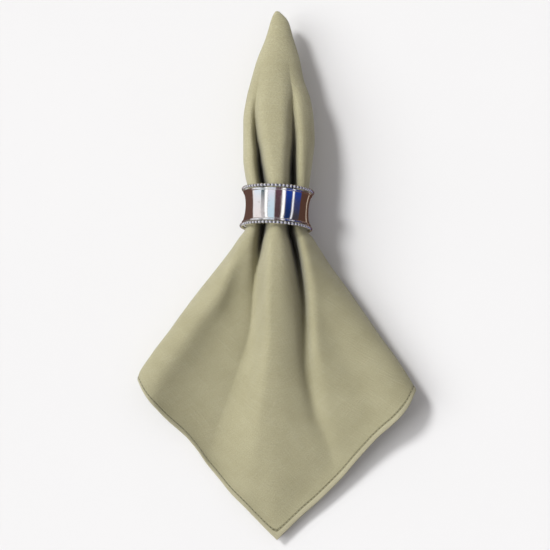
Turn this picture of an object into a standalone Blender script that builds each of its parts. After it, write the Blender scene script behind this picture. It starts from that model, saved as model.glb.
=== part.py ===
"""Linen napkin drawn through a waisted silver ring, lying on a table.

The napkin is a 508 mm square folded in quarters. Its side corners are turned behind, and the
closed corner is drawn through the ring. +Z is up from the table and +Y points to the closed tip.
"""

import math

import bpy
import numpy as np

MM = 0.001
NAME = "linen_napkin_in_ring"

# Cloth sizes in millimetres
TIP_Y = 176.1                 # where the closed corner lies
RING_Y = 39.7                 # middle of the ring
EXIT = 150.4                  # from the tip to where the cloth leaves the ring
CORNER = 352.4                # from the tip to the open corner
THICK = 1.0                   # sheet
HEM_THICK = 1.2               # the turned hem is a little thicker
HEM_WIDTH = 5.0
PLIES = 4
SIDE_DROP = (105.5, 108.2)    # exit to the left and right side corner, along Y
RIDGE_SOFT = 0.3              # how much a row's V is rounded, up to the hem, where it is a corner
FLAP_DROP = (112.0, 124.0)    # exit to the inner end of the left and right flap's hem, along Y
FLAP_WRAP = 2.4               # the outer pair of plies' right flaps end this much sooner
PLY_STEP_BACK = 0.9           # each inner hem stops this much short of the one above
FOLD_RADIUS = (1.5, 6.0)      # tightest bend at a fold's bottom, by the ring and at the hem
TABLE_REACH = 0.12            # points of the underside nearer the table than this lie on it

# Where the cloth's outline runs, by the distance from the tip
OUTLINE_COLUMNS = ("tip", "left", "right", "bottom", "crest", "side_left", "side_right",
                   "roll_left", "roll_right", "pitch", "flap_left", "flap_right")
OUTLINE = (
    (0.0, 0.9, 0.9, 17.0, 18.8, 1.8, 1.8, 0.9, 0.9, 1.5, 4.5, 5.0),
    (3.5, 2.6, 4.4, 15.6, 20.3, 4.7, 4.7, 3.5, 3.5, 1.5, 4.5, 5.0),
    (8.0, 3.9, 7.4, 14.2, 21.6, 7.4, 7.4, 5.6, 5.6, 1.5, 4.5, 5.0),
    (20.0, 7.4, 10.8, 11.2, 24.8, 13.6, 13.6, 9.1, 9.1, 1.5, 4.5, 5.0),
    (33.4, 12.6, 14.7, 8.8, 28.2, 19.4, 19.4, 13.6, 13.6, 1.5, 2.2, 4.6),
    (48.0, 16.7, 17.5, 7.2, 31.5, 24.3, 24.3, 17.1, 17.1, 1.7, 3.2, 5.2),
    (61.8, 20.0, 22.0, 5.8, 34.8, 29.0, 29.0, 21.0, 21.0, 1.8, 4.5, 5.4),
    (75.8, 21.9, 24.0, 4.8, 37.6, 32.8, 32.8, 22.9, 22.9, 1.8, 4.5, 5.6),
    (89.4, 21.9, 24.6, 4.3, 39.9, 35.6, 35.6, 23.2, 23.2, 1.8, 4.5, 5.8),
    (103.0, 21.8, 23.2, 4.2, 41.4, 37.2, 37.2, 22.5, 22.5, 1.8, 4.5, 6.0),
    (114.4, 20.4, 21.6, 4.3, 42.8, 38.5, 38.5, 21.0, 21.0, 1.8, 4.5, 6.0),
    (122.4, 18.8, 20.6, 4.6, 43.2, 38.6, 38.6, 19.7, 19.7, 1.8, 4.5, 6.0),
    (136.4, 18.6, 18.6, 5.3, 42.5, 37.2, 37.2, 18.6, 18.6, 1.8, 4.5, 6.0),
    (150.4, 20.6, 19.2, 4.4, 43.0, 38.6, 38.6, 19.8, 19.8, 1.8, 4.5, 6.0),
    (160.5, 24.8, 23.4, 2.4, 42.6, 37.0, 37.4, 19.2, 19.6, 1.95, 5.5, 7.0),
    (175.0, 30.4, 28.7, 0.9, 41.2, 32.5, 33.5, 18.0, 18.6, 1.95, 7.5, 9.0),
    (195.0, 38.7, 35.9, 0.5, 38.0, 28.0, 29.5, 16.0, 17.5, 1.95, 9.0, 10.5),
    (221.0, 49.4, 46.2, 0.5, 32.0, 25.0, 26.5, 14.5, 17.0, 1.95, 11.0, 12.5),
    (251.0, 60.8, 57.1, 0.5, 24.5, 24.5, 25.8, 13.0, 17.0, 1.9, 12.0, 13.0),
    (281.0, 71.2, 67.7, 0.5, 18.0, 23.5, 25.2, 12.5, 17.0, 1.85, 12.5, 13.5),
    (311.0, 81.7, 78.7, 0.5, 12.2, 22.5, 24.6, 12.0, 16.5, 1.8, 13.0, 14.0),
    (347.4, 91.0, 89.9, 0.6, 6.6, 21.5, 23.8, 11.5, 15.5, 1.75, 13.5, 14.5),
    (352.4, 91.2, 91.2, 0.6, 6.6, 21.5, 23.8, 11.5, 15.5, 1.75, 13.5, 14.5),
)

# The lower edges' waves: across from the middle, 0, to a side corner, 1, and how far the edge
# lies below, or above, a straight line
HEM_COLUMNS = ("across", "drop")
LEFT_HEM = ((0.0, 0.0), (0.1, 0.7), (0.24, 1.2), (0.33, 1.8), (0.42, 0.4), (0.5, -0.5),
            (0.58, -3.2), (0.65, -4.0), (0.72, -2.9), (0.8, -1.6), (0.9, -1.4), (0.95, -2.8),
            (1.0, -7.5))
RIGHT_HEM = ((0.0, 0.0), (0.15, 0.7), (0.31, 2.8), (0.455, 3.4), (0.58, 2.0), (0.71, 1.3),
             (0.87, 3.3), (0.93, 2.4), (1.0, -3.5))

# The two main folds: place across the width from -1 at the left side to 1 at the right side, and
# how far the cloth slopes down to the fold on its left and on its right
FOLD_COLUMNS = ("tip", "place", "depth", "left", "right", "broad")
LEFT_FOLD = (
    (33.4, -0.66, 0.0, 8.0, 8.0, 0.0),
    (47.0, -0.69, 0.8, 8.0, 8.0, 0.0),
    (60.4, -0.70, 2.2, 8.0, 8.0, 0.0),
    (74.0, -0.67, 4.5, 8.0, 8.0, 0.0),
    (87.4, -0.64, 7.5, 8.2, 8.2, 0.0),
    (100.8, -0.55, 10.5, 8.4, 8.4, 0.0),
    (114.4, -0.50, 13.0, 8.6, 8.6, 0.0),
    (136.4, -0.46, 14.0, 8.6, 8.6, 0.0),
    (150.4, -0.43, 14.0, 8.8, 8.8, 0.0),
    (160.5, -0.42, 12.5, 10.0, 9.0, 0.1),
    (175.0, -0.40, 10.5, 12.5, 9.5, 0.4),
    (195.0, -0.37, 8.6, 16.5, 11.0, 0.8),
    (221.0, -0.34, 7.4, 22.0, 14.0, 1.0),
    (251.0, -0.39, 6.6, 28.0, 18.0, 1.0),
    (281.0, -0.44, 5.8, 31.0, 22.0, 1.0),
    (311.0, -0.475, 4.6, 35.0, 26.0, 1.0),
    (352.4, -0.50, 3.0, 38.0, 28.0, 1.0),
)
RIGHT_FOLD = (
    (33.4, 0.46, 0.0, 8.0, 8.0, 0.0),
    (47.0, 0.48, 1.0, 8.0, 8.0, 0.0),
    (60.4, 0.45, 3.2, 8.0, 8.0, 0.0),
    (74.0, 0.41, 6.0, 8.0, 8.0, 0.0),
    (87.4, 0.41, 8.8, 8.2, 8.2, 0.0),
    (100.8, 0.43, 11.5, 8.4, 8.4, 0.0),
    (114.4, 0.46, 13.5, 8.6, 8.6, 0.0),
    (136.4, 0.49, 14.0, 8.6, 8.6, 0.0),
    (150.4, 0.46, 14.0, 8.8, 8.8, 0.0),
    (160.5, 0.47, 13.0, 10.0, 9.0, 0.0),
    (175.0, 0.475, 11.5, 12.5, 9.0, 0.0),
    (195.0, 0.465, 9.0, 16.0, 9.8, 0.0),
    (221.0, 0.41, 7.0, 19.0, 10.0, 0.0),
    (251.0, 0.37, 5.2, 22.0, 10.0, 0.0),
    (281.0, 0.38, 3.4, 23.0, 13.0, 0.0),
    (311.0, 0.42, 1.6, 24.0, 18.0, 0.0),
    (352.4, 0.45, 0.3, 24.0, 20.0, 0.0),
)
FOLD_POWER = 2.2              # how round the lobes beside a fold are
DEEP_FOLD = 4.0               # from this depth on the inner plies bend right under the fold
FOLD_LIMIT = 0.72             # share of the way to a side that an inner ply's fold may lie at
PANEL_SLOPE = 0.35            # share of a broad fold's depth that is an even slope

# A shallow groove beside the right side's roll
GROOVE_COLUMNS = ("tip", "place", "depth", "reach")
GROOVE = (
    (183.0, 0.60, 0.0, 7.0),
    (198.0, 0.62, 1.0, 10.0),
    (223.0, 0.65, 1.8, 12.0),
    (252.0, 0.71, 2.2, 13.0),
    (283.0, 0.78, 1.6, 13.0),
    (306.0, 0.79, 1.0, 13.0),
    (340.0, 0.80, 0.0, 13.0),
)

# Mesh steps: rows from the tip, and the faces across a ply between its marks
ROWS = (33.4, 48.0, 63.0, 79.0, 95.0, 108.0, 121.0, 136.4, 148.0, 156.0, 165.0, 176.0,
        189.0, 204.0, 221.0, 240.0, 262.0, 288.0, 317.0, 347.4, 352.4)
PLY_STEPS = {"flap": 1, "roll": 3, "side": 3, "lobe": 4}
FOLD_CROWD = 1.35             # steps crowd towards the bottom of a fold by this power
SPREAD = (155.0, 200.0)       # from the tip: where the plies' faces start to lie side by side
EVEN_SHARE = 0.04             # share of even spacing, so that no two points meet
SAMPLES = 700                 # places at which a row's heights are worked out
EDGE_SAMPLES = (0.002, 2.0, 30)  # and extra ones by its edges: first, last and how many
ARC_SAMPLES = 33              # directions tried when a height curve is moved
FAR = 1e6                     # no height at all, past the ends of a height curve

# The closed tip, where the folds are pressed together: distance from the tip, and how far its
# surface stands outside the middle of the outer ply
NOSE = (
    (37.4, 0.0),
    (34.4, 0.56),
    (28.0, 0.5),
    (20.0, 0.5),
    (14.0, 0.5),
    (8.0, 0.4),
    (3.5, 0.2),
    (0.8, 0.0),
)
NOSE_SIDES = 20

# Ring sizes in millimetres
RING_TURN = math.radians(-3.2)
WAIST_RADIUS = 20.8
RIM_RADIUS = 22.7
BAND_HALF = 10.7
WALL = 1.15
FLARE_POWER = 2.4
LINE_OUT = 9.7                # the raised line lies this far from the middle
LINE_HIGH = 0.35
LINE_HALF = 0.5
BAND_OUTS = (BAND_HALF, 10.2, LINE_OUT, 9.2, 8.4, 6.4, 3.7, 0.0)
BAND_STEPS = 48
BEADS = 58
BEAD_RADIUS = 1.15
BEAD_NECK = 0.62
BEAD_SIDES = 6
BEAD_RING_RADIUS = 22.85
BEAD_OUT = 12.2               # the bead row's middle, from the middle of the ring
RING_Z = BEAD_RING_RADIUS + BEAD_RADIUS  # the beads rest on the table


def clear_scene():
    for thing in list(bpy.data.objects):
        bpy.data.objects.remove(thing, do_unlink=True)


def material(name, colour, roughness, metallic):
    made = bpy.data.materials.new(name)
    made.use_nodes = True
    shader = made.node_tree.nodes["Principled BSDF"]
    shader.inputs["Base Color"].default_value = (*colour, 1.0)
    shader.inputs["Roughness"].default_value = roughness
    shader.inputs["Metallic"].default_value = metallic
    return made


def collection(name, parent):
    made = bpy.data.collections.new(name)
    parent.children.link(made)
    return made


def mesh_object(name, points, faces, into, finish=None):
    mesh = bpy.data.meshes.new(name)
    mesh.from_pydata([tuple(point) for point in np.asarray(points) * MM], [], faces)
    mesh.validate()
    thing = bpy.data.objects.new(name, mesh)
    into.objects.link(thing)
    if finish:
        mesh.materials.append(finish)
    return thing


def smooth_rows(table, columns, tip):
    """Every column of a table at one distance from the tip, on a curve that never overshoots."""
    rows = np.array(table)
    at = rows[:, 0]
    tip = min(max(tip, at[0]), at[-1])
    step = np.diff(at)
    values = {"tip": tip}
    for index, name in enumerate(columns[1:], start=1):
        slope = np.diff(rows[:, index]) / step
        tangent = np.zeros(len(at))
        tangent[0], tangent[-1] = slope[0], slope[-1]
        same = slope[:-1] * slope[1:] > 0
        both = 2 * slope[:-1] * slope[1:] / np.where(same, slope[:-1] + slope[1:], 1)
        tangent[1:-1] = np.where(same, both, 0)
        k = min(int(np.searchsorted(at, tip, side="right")) - 1, len(at) - 2)
        t = (tip - at[k]) / step[k]
        values[name] = float((1 + 2 * t) * (1 - t) ** 2 * rows[k, index]
                             + t * (1 - t) ** 2 * step[k] * tangent[k]
                             + t * t * (3 - 2 * t) * rows[k + 1, index]
                             + t * t * (t - 1) * step[k] * tangent[k + 1])
    return values


def half_round(x, row):
    """How far the sides' rolls rise above their middle height at x, from 0 at the edge to 1."""
    left = (-row["left"] + row["roll_left"] - x) / row["roll_left"]
    right = (x - row["right"] + row["roll_right"]) / row["roll_right"]
    out = np.clip(np.maximum(left, right), 0, 1)
    return np.sqrt(1 - out ** 2)


def side_height(x, row):
    """Height of the side roll, going from the left one to the right one."""
    share = np.clip((x + row["left"]) / (row["left"] + row["right"]), 0, 1)
    return row["side_left"] * (1 - share) + row["side_right"] * share


def across(x, row):
    """Place across the width, -1 at the left side and 1 at the right side."""
    middle = (row["right"] - row["left"]) / 2
    half = (row["right"] + row["left"]) / 2
    return (x - middle) / half


def fold_x(fold, row):
    middle = (row["right"] - row["left"]) / 2
    half = (row["right"] + row["left"]) / 2
    return middle + fold["place"] * half


def ease(share):
    return share * share * (3 - 2 * share)


def fold_share(beside, fold):
    """Share of a fold's depth at a place beside it: round lobes, or a broad panel on its left."""
    left = np.clip(-beside / fold["left"], 0, 1)
    right = np.clip(beside / fold["right"], 0, 1)
    panel = PANEL_SLOPE * (1 - left) + (1 - PANEL_SLOPE) * (1 - ease(left ** 3)) - ease(right)
    lobes = (1 - np.maximum(left, right)) ** FOLD_POWER
    return fold["broad"] * panel + (1 - fold["broad"]) * lobes


def upper_raw(x, row, folds):
    """Centre height of the top ply before its fold bottoms are rounded."""
    half = side_height(x, row) / 2
    height = row["bottom"] + half * (1 + half_round(x, row))
    level = row["bottom"] + (row["side_left"] + row["side_right"]) / 2
    height = height + (row["crest"] - level) * (1 - np.clip(across(x, row), -1, 1) ** 2)
    for fold in folds:
        height = height - fold["depth"] * fold_share(x - fold_x(fold, row), fold)
    if GROOVE[0][0] < row["tip"] < GROOVE[-1][0]:
        groove = smooth_rows(GROOVE, GROOVE_COLUMNS, row["tip"])
        near = np.clip(np.abs(x - fold_x(groove, row)) / groove["reach"], 0, 1)
        height = height - groove["depth"] * (1 - near ** 2) ** 2
    return height


def lower_raw(x, row):
    """Centre height of the lowest ply, which lies on the table or in the ring."""
    half = side_height(x, row) / 2
    return row["bottom"] + half * (1 - half_round(x, row))


def shifted(x, height, reach, sign, at=None):
    """A height curve moved by a distance: down with sign -1, up with sign 1."""
    at = x if at is None else at
    best = np.full(len(at), -sign * FAR)
    for angle in np.linspace(-math.pi / 2, math.pi / 2, ARC_SAMPLES):
        moved = np.interp(at + reach * math.sin(angle), x, height,
                          left=-FAR, right=-FAR)
        moved = moved + sign * reach * math.cos(angle)
        best = np.maximum(best, moved) if sign > 0 else np.minimum(best, moved)
    return best


def curve_part(x, height, start, end, steps, crowd=1.0):
    """Points along a height curve from start to end, evenly or crowded: at its start with a
    positive power, at its end with a negative one."""
    low, high = min(start, end), max(start, end)
    inside = (x > low) & (x < high)
    xs = np.concatenate([[low], x[inside], [high]])
    zs = np.interp(xs, x, height)
    if start > end:
        xs, zs = xs[::-1], zs[::-1]
    run = np.concatenate([[0], np.cumsum(np.hypot(np.diff(xs), np.diff(zs)))])
    marks = np.linspace(0, 1, steps + 1)
    marks = run[-1] * (marks ** crowd if crowd > 0 else 1 - (1 - marks) ** -crowd)
    return list(zip(np.interp(marks, run, xs), np.interp(marks, run, zs)))


def fold_radius(row):
    """Tightest bend of the top ply, which opens out from the ring to the hem."""
    return float(np.interp(row["tip"], (EXIT + HEM_WIDTH, CORNER), FOLD_RADIUS))


def rounded_folds(x, height, radius):
    """A height curve whose fold bottoms are no tighter than a radius."""
    beyond = np.linspace(0.05, 1.0, 20) * radius
    wide = np.concatenate([x[0] - beyond[::-1], x, x[-1] + beyond])
    up = shifted(x, height, radius, 1, wide)
    return np.maximum(shifted(wide, up, radius, -1, x), height)


def fold_bottom(x, height, fold, middle, inset, end):
    """Where an inner ply bends under a fold: on a slope it lies a little downhill of the fold."""
    reach = FOLD_RADIUS[0] + inset
    window = x[np.abs(x - middle) <= reach]
    share = (window - middle + reach) / (2 * reach)
    first, last = np.interp([middle - reach, middle + reach], x, height)
    below = first * (1 - share) + last * share - np.interp(window, x, height)
    found = middle
    if len(window) and inset:
        found += (window[int(np.argmax(below))] - middle) * min(1, fold["depth"] / DEEP_FOLD)
    return math.copysign(min(abs(found), FOLD_LIMIT * abs(end)), end)


def over_points(x, height, ends, valleys, row):
    """Points of a ply from side to side over the top, crowded towards the bottoms of the folds."""
    marks = (ends[0], min((ends[0] + valleys[0]) / 2, ends[0] + row["roll_left"]),
             valleys[0], 0.0, valleys[1],
             max((ends[1] + valleys[1]) / 2, ends[1] - row["roll_right"]), ends[1])
    steps = [PLY_STEPS["side"]] + [PLY_STEPS["lobe"]] * 4 + [PLY_STEPS["side"]]
    crowds = (1, -FOLD_CROWD, FOLD_CROWD, -FOLD_CROWD, FOLD_CROWD, 1)
    points = []
    for start, end, count, crowd in zip(marks[:-1], marks[1:], steps, crowds):
        points += curve_part(x, height, start, end, count, crowd)[:-1]
    return points + [(ends[1], height[-1])]


def moved_in(points, x, height, ends, inset):
    """Places of the outer ply's points moved in by a distance, each along its own normal."""
    at = np.array([place for place, _ in points])
    slope = np.arctan2(np.gradient(height), np.gradient(x))
    slope[0], slope[-1] = math.pi / 2, -math.pi / 2
    places = at + inset * np.sin(np.interp(at, x, slope))
    forward = np.maximum.accumulate(places)
    backward = np.minimum.accumulate(places[::-1])[::-1]
    even = np.interp(at, (at[0], at[-1]), ends)
    return (1 - EVEN_SHARE) * (forward + backward) / 2 + EVEN_SHARE * even


def ply_section(row, folds, ply):
    """One ply across a row: from its left flap's end, under, up the side, over the top and back."""
    inset = ply * row["pitch"]
    left, right = -row["left"], row["right"]
    by_edge = np.geomspace(*EDGE_SAMPLES)
    x = np.unique(np.concatenate([
        np.linspace(left, right, SAMPLES), left + by_edge, right - by_edge]))
    middles = [row["bottom"] + row[side] / 2 for side in ("side_left", "side_right")]
    upper = rounded_folds(x, upper_raw(x, row, folds), fold_radius(row))
    upper[0], upper[-1] = middles
    top = shifted(x, upper, inset, -1)
    under = shifted(x, lower_raw(x, row), inset, 1)
    ends = (left + inset, right - inset)
    keep = (x > ends[0] + 0.01) & (x < ends[1] - 0.01)
    xs = np.concatenate([[ends[0]], x[keep], [ends[1]]])
    top = np.concatenate([middles[:1], top[keep], middles[1:]])
    under = np.concatenate([middles[:1], under[keep], middles[1:]])
    middle_folds = [fold_x(fold, row) for fold in folds]
    valleys = [fold_bottom(xs, top, fold, middle, inset, end)
               for fold, middle, end in zip(folds, middle_folds, ends)]
    over = over_points(xs, top, ends, valleys, row)
    spread = ease(min(max((row["tip"] - SPREAD[0]) / (SPREAD[1] - SPREAD[0]), 0), 1))
    if spread and inset:
        outer = over_points(x, upper, (left, right), middle_folds, row)
        places = moved_in(outer, x, upper, ends, inset) * spread
        places += np.array([place for place, _ in over]) * (1 - spread)
        over = list(zip(places, np.interp(places, xs, top)))
    flaps = flap_ends(row, ply)
    bends = [end + (flap - end) * min(0.7, row[roll] / abs(flap - end))
             for end, flap, roll in zip(ends, flaps, ("roll_left", "roll_right"))]
    points = curve_part(xs, under, flaps[0], bends[0], PLY_STEPS["flap"])
    points += curve_part(xs, under, bends[0], ends[0], PLY_STEPS["roll"])[1:]
    lower = len(points) - 1
    points += over[1:]
    upper_end = len(points) - 1
    points += curve_part(xs, under, ends[1], bends[1], PLY_STEPS["roll"])[1:]
    points += curve_part(xs, under, bends[1], flaps[1], PLY_STEPS["flap"])[1:]
    kinds = ["over" if lower < k < upper_end else "under" for k in range(len(points))]
    return [(x, place_y(kind, x, row, ply), z) for (x, z), kind in zip(points, kinds)]


def flap_ends(row, ply):
    """Inner ends of the flaps: the outer pair of plies reaches round the inner pair on the right."""
    wrap = FLAP_WRAP if ply in (0, PLIES - 1) else 0.0
    return -row["flap_left"], row["flap_right"] - wrap


def row_drop(out, right, share):
    """How far a row has dropped below the ring on the upper side, at a place across the width."""
    soft = RIDGE_SOFT * (1 - share ** 2)
    bent = (math.hypot(out, soft) - soft) / (math.hypot(1, soft) - soft)
    drop = (CORNER - EXIT) * (1 - bent) + SIDE_DROP[right] * bent
    wave = smooth_rows((LEFT_HEM, RIGHT_HEM)[right], HEM_COLUMNS, out)["drop"]
    return drop + wave * share ** 2


def place_y(kind, x, row, ply):
    """Place along Y: a row is straight as far as the ring and a wide V below it."""
    distance = row["tip"]
    if distance <= EXIT:
        return TIP_Y - distance
    share = (distance - EXIT) / (CORNER - EXIT)
    share *= 1 - ply * PLY_STEP_BACK * share / (CORNER - EXIT)
    place = float(across(x, row))
    right = place > 0
    out = abs(place)
    if kind == "over":
        return TIP_Y - EXIT - share * row_drop(out, right, share)
    inset = ply * row["pitch"]
    side = abs(across(row["right"] - inset if right else inset - row["left"], row))
    end = abs(across(row["flap_right"] if right else -row["flap_left"], row))
    inward = (side - out) / (side - end)
    at_side = row_drop(side, right, share)
    return TIP_Y - EXIT - share * (at_side + (FLAP_DROP[right] - at_side) * inward)


def loop_row(distance):
    """All four plies across one row as one closed loop, with the turns that join them."""
    row = smooth_rows(OUTLINE, OUTLINE_COLUMNS, distance)
    folds = [smooth_rows(table, FOLD_COLUMNS, distance) for table in (LEFT_FOLD, RIGHT_FOLD)]
    plies = [ply_section(row, folds, ply) for ply in range(PLIES)]
    first, second, third, fourth = plies
    loop = list(first)
    loop += turn(first[-1], fourth[-1], -1, 3)
    loop += fourth[::-1]
    loop += turn(fourth[0], third[0], 1, 1)
    loop += third
    loop += turn(third[-1], second[-1], -1, 1)
    loop += second[::-1]
    loop += turn(second[0], first[0], 1, 1)
    return loop


def turn(start, end, side, steps):
    """The bend of a fold edge, half round in X and Z between two plies' ends."""
    start, end = np.array(start), np.array(end)
    radius = abs(end[2] - start[2]) / 2
    made = []
    for k in range(1, steps + 1):
        angle = math.pi * k / (steps + 1)
        share = (1 - math.cos(angle)) / 2
        point = start * (1 - share) + end * share
        point[0] += side * radius * math.sin(angle)
        made.append(tuple(point))
    return made


def grid_normals(grid):
    """Outward normal at each point of rows of closed loops."""
    along = np.gradient(grid, axis=0)
    before = grid - np.roll(grid, 1, axis=1)
    after = np.roll(grid, -1, axis=1) - grid
    before /= np.linalg.norm(before, axis=2, keepdims=True)
    after /= np.linalg.norm(after, axis=2, keepdims=True)
    round_loop = before + after
    normal = np.cross(along, round_loop)
    return normal / np.linalg.norm(normal, axis=2, keepdims=True)


def napkin_sheet(into):
    grid = np.array([loop_row(distance) for distance in ROWS])
    normal = grid_normals(grid)
    thick = np.interp(ROWS, (CORNER - HEM_WIDTH - 0.1, CORNER - HEM_WIDTH), (THICK, HEM_THICK))
    half = thick[:, None, None] / 2
    outer, inner = grid + normal * half, grid - normal * half
    outer[..., 2] = np.where(outer[..., 2] < TABLE_REACH, 0, outer[..., 2])
    rows, columns = grid.shape[:2]
    count = rows * columns
    points = np.concatenate([outer.reshape(-1, 3), inner.reshape(-1, 3)])
    faces = []
    for column in range(columns):
        beside = (column + 1) % columns
        for row in range(rows - 1):
            a, b = row * columns + column, row * columns + beside
            c, d = b + columns, a + columns
            faces.append((a, d, c, b))
            faces.append((count + a, count + b, count + c, count + d))
        last = (rows - 1) * columns
        faces.append((column, beside, count + beside, count + column))
        faces.append((last + column, count + last + column, count + last + beside, last + beside))
    return mesh_object("napkin", points, faces, into)


def nose_mesh(into):
    """The closed tip as a solid horn of oval sections, its wide end hidden inside the folds."""
    points = []
    for distance, proud in NOSE:
        row = smooth_rows(OUTLINE, OUTLINE_COLUMNS, distance)
        middle = (row["right"] - row["left"]) / 2
        half = (row["right"] + row["left"]) / 2 + proud
        high = row["side_left"] / 2 + proud
        level = row["bottom"] + row["side_left"] / 2
        for k in range(NOSE_SIDES):
            angle = 2 * math.pi * k / NOSE_SIDES
            points.append((middle + half * math.cos(angle), TIP_Y - distance,
                           level + high * math.sin(angle)))
    last = (len(NOSE) - 1) * NOSE_SIDES
    tip = len(points)
    end = smooth_rows(OUTLINE, OUTLINE_COLUMNS, 0.0)
    points.append((0.0, TIP_Y, end["bottom"] + end["side_left"] / 2))
    faces = [tuple(range(NOSE_SIDES))]
    for k in range(NOSE_SIDES):
        beside = (k + 1) % NOSE_SIDES
        for first in range(0, last, NOSE_SIDES):
            second = first + NOSE_SIDES
            faces.append((first + k, second + k, second + beside, first + beside))
        faces.append((last + k, tip, last + beside))
    return mesh_object("nose", points, faces, into)


def build_napkin(into, guides, finish):
    sheet = napkin_sheet(into)
    sheet.data.materials.append(finish)
    nose = nose_mesh(guides)
    nose.hide_render = True
    nose.display_type = "WIRE"
    joined = sheet.modifiers.new("closed tip", "BOOLEAN")
    joined.operation = "UNION"
    joined.object = nose
    return sheet


def band_radius(out):
    """Outer radius of the waisted band at a distance from its middle, with its raised line."""
    flare = (RIM_RADIUS - WAIST_RADIUS) * (abs(out) / BAND_HALF) ** FLARE_POWER
    line = LINE_HIGH * max(0, 1 - abs(abs(out) - LINE_OUT) / LINE_HALF)
    return WAIST_RADIUS + flare + line


def place_on_ring(thing):
    """Lay a piece turned about Z down on its side, round the cloth."""
    thing.rotation_euler = (math.pi / 2, 0, RING_TURN)
    thing.location = (0, RING_Y * MM, RING_Z * MM)


def build_band(into, finish):
    outs = BAND_OUTS + tuple(-out for out in BAND_OUTS[-2::-1])
    profile = [(band_radius(out), out) for out in outs]
    inner = (-BAND_HALF, -BAND_HALF / 2, 0.0, BAND_HALF / 2, BAND_HALF)
    flare = RIM_RADIUS - WAIST_RADIUS
    profile += [(WAIST_RADIUS + flare * (abs(out) / BAND_HALF) ** FLARE_POWER - WALL, out)
                for out in inner]
    mesh = bpy.data.meshes.new("ring_band")
    count = len(profile)
    mesh.from_pydata([(radius * MM, 0, out * MM) for radius, out in profile],
                     [(k, (k + 1) % count) for k in range(count)], [])
    thing = bpy.data.objects.new("ring_band", mesh)
    into.objects.link(thing)
    mesh.materials.append(finish)
    turned = thing.modifiers.new("turned", "SCREW")
    turned.steps = BAND_STEPS
    turned.render_steps = BAND_STEPS
    turned.use_merge_vertices = True
    turned.merge_threshold = 0.00001
    place_on_ring(thing)
    return thing


def build_beads(name, side, into, finish):
    """One rim's beaded wire: round beads joined by short necks, in a closed circle."""
    points, faces = [], []
    stations = 2 * BEADS
    for station in range(stations):
        angle = -math.pi / 2 + 2 * math.pi * station / stations
        radius = BEAD_NECK if station % 2 else BEAD_RADIUS
        for k in range(BEAD_SIDES):
            around = 2 * math.pi * k / BEAD_SIDES
            reach = BEAD_RING_RADIUS + radius * math.cos(around)
            points.append((reach * math.cos(angle), reach * math.sin(angle),
                           side * BEAD_OUT + radius * math.sin(around)))
            beside = (k + 1) % BEAD_SIDES
            first = station * BEAD_SIDES
            second = (station + 1) % stations * BEAD_SIDES
            faces.append((first + k, second + k, second + beside, first + beside))
    thing = mesh_object(name, points, faces, into, finish)
    thing.data.shade_smooth()
    place_on_ring(thing)
    return thing


def main():
    clear_scene()
    parts = collection(NAME, bpy.context.scene.collection)
    guides = collection("guides", bpy.context.scene.collection)
    linen = material("linen", (0.46, 0.44, 0.29), 0.9, 0.0)
    silver = material("silver", (0.82, 0.82, 0.84), 0.12, 1.0)
    build_napkin(parts, guides, linen)
    build_band(parts, silver)
    build_beads("ring_beads_upper", -1, parts, silver)
    build_beads("ring_beads_lower", 1, parts, silver)


main()
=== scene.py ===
import math

import bpy
import numpy as np
from mathutils import Matrix, Vector


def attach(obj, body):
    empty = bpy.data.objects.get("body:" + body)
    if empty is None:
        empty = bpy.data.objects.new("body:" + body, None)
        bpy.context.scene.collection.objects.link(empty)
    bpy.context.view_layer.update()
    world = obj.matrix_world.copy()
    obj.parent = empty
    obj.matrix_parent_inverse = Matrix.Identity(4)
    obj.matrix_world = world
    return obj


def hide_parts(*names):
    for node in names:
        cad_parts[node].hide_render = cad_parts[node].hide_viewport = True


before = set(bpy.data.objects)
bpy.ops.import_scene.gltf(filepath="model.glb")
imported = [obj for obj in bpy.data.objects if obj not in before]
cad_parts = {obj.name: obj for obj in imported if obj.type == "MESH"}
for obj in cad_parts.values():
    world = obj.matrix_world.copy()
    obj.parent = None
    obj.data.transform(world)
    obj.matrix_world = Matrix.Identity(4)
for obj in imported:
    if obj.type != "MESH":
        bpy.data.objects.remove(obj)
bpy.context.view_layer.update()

mm = 0.001
sceneCollection = bpy.context.scene.collection


# helpers shared by every piece

def smoothColumns(rows, names, tip):  # every column of a table at one distance, never overshooting
    table = np.array(rows)
    at = table[:, 0]
    tip = min(max(tip, at[0]), at[-1])
    step = np.diff(at)
    k = min(int(np.searchsorted(at, tip, side="right")) - 1, len(at) - 2)
    t = (tip - at[k]) / step[k]
    slope = np.diff(table, axis=0) / step[:, None]
    tangent = np.zeros(table.shape)
    tangent[0], tangent[-1] = slope[0], slope[-1]
    same = slope[:-1] * slope[1:] > 0
    both = 2 * slope[:-1] * slope[1:] / np.where(same, slope[:-1] + slope[1:], 1)
    tangent[1:-1] = np.where(same, both, 0)
    found = ((1 + 2 * t) * (1 - t) ** 2 * table[k] + t * (1 - t) ** 2 * step[k] * tangent[k]
             + t * t * (3 - 2 * t) * table[k + 1] + t * t * (t - 1) * step[k] * tangent[k + 1])
    values = dict(zip(names, (float(value) for value in found)))
    values["tip"] = tip
    return values


def addObject(name, data):
    made = bpy.data.objects.new(name, data)
    sceneCollection.objects.link(made)
    return made


def meshPiece(name, points, faces, finish, smooth=True):  # points in millimetres
    mesh = bpy.data.meshes.new(name)
    mesh.from_pydata([tuple(point) for point in np.asarray(points) * mm], [], faces)
    mesh.update()
    mesh.materials.append(finish)
    for polygon in mesh.polygons:
        polygon.use_smooth = smooth
    return addObject(name, mesh)


def addUv(piece, name, perPoint):  # one UV for each vertex
    layer = piece.data.uv_layers.new(name=name)
    corners = np.zeros(len(piece.data.loops), int)
    piece.data.loops.foreach_get("vertex_index", corners)
    layer.data.foreach_set("uv", np.asarray(perPoint)[corners].ravel())


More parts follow.
